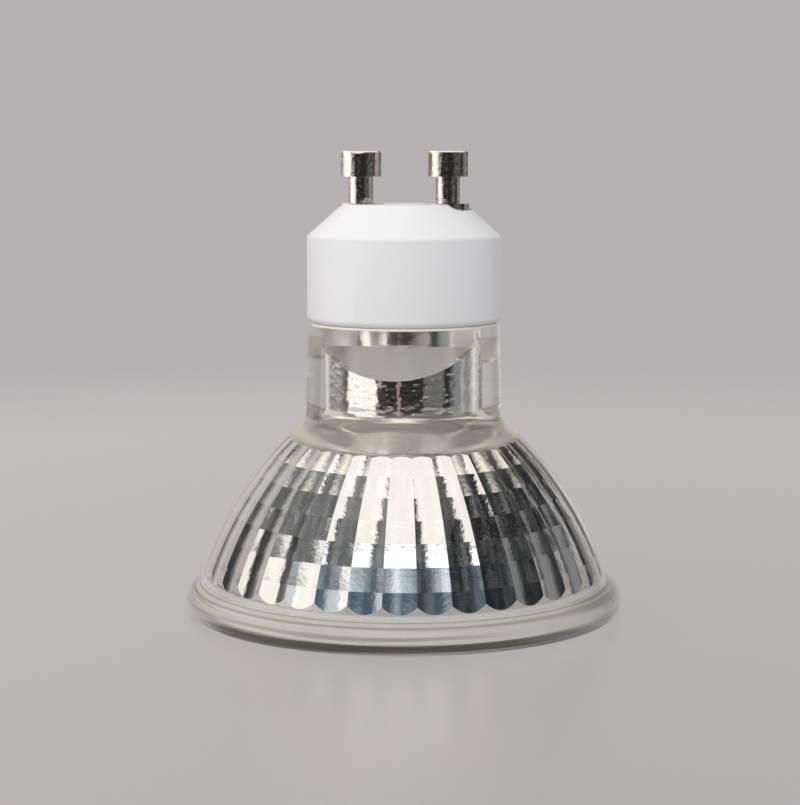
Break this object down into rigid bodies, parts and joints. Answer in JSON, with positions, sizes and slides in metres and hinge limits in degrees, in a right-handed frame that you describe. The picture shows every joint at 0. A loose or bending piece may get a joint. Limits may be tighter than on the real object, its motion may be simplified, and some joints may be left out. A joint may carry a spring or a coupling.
{
  "type": "gu10 spotlight bulb",
  "caption": "Mains reflector spotlight bulb: fluted silvered glass bowl with a clear rim, notched glass neck, white ceramic base and two headed contact pins.",
  "frame": {"origin": "on the lamp's axis in the plane of the front rim, on which it stands", "axes": "+Z along the axis from the front rim to the pins, X through both pins, -Y towards the front clip notch"},
  "size_m": [0.0507, 0.0506, 0.053],
  "materials": {
    "clear_glass": "pressed clear glass, fire-polished",
    "silvering": "bright evaporated aluminium seen through the glass",
    "sealant": "translucent silicone",
    "white_ceramic": "fine unglazed white steatite, satin",
    "cement": "matt lamp cement",
    "quartz": "clear quartz",
    "tungsten": "drawn tungsten wire",
    "molybdenum": "bright molybdenum",
    "nickel_wire": "drawn nickel wire",
    "nickel_plate": "nickel-plated turned brass, slightly scratched"
  },
  "bodies": {
    "root": {"reflector_glass": "clear_glass", "mirror_coating": "silvering", "front_glass": "clear_glass", "front_sealant": "sealant", "ceramic_base": "white_ceramic", "base_cement": "cement", "burner_cement": "cement", "burner_quartz": "quartz", "filament": "tungsten", "filament_leg_left": "molybdenum", "filament_leg_right": "molybdenum", "foil_left": "molybdenum", "foil_right": "molybdenum", "lead_wire_left": "nickel_wire", "lead_wire_right": "nickel_wire", "fuse_bead": "quartz", "pin_left": "nickel_plate", "pin_right": "nickel_plate"}
  },
  "joints": []
}
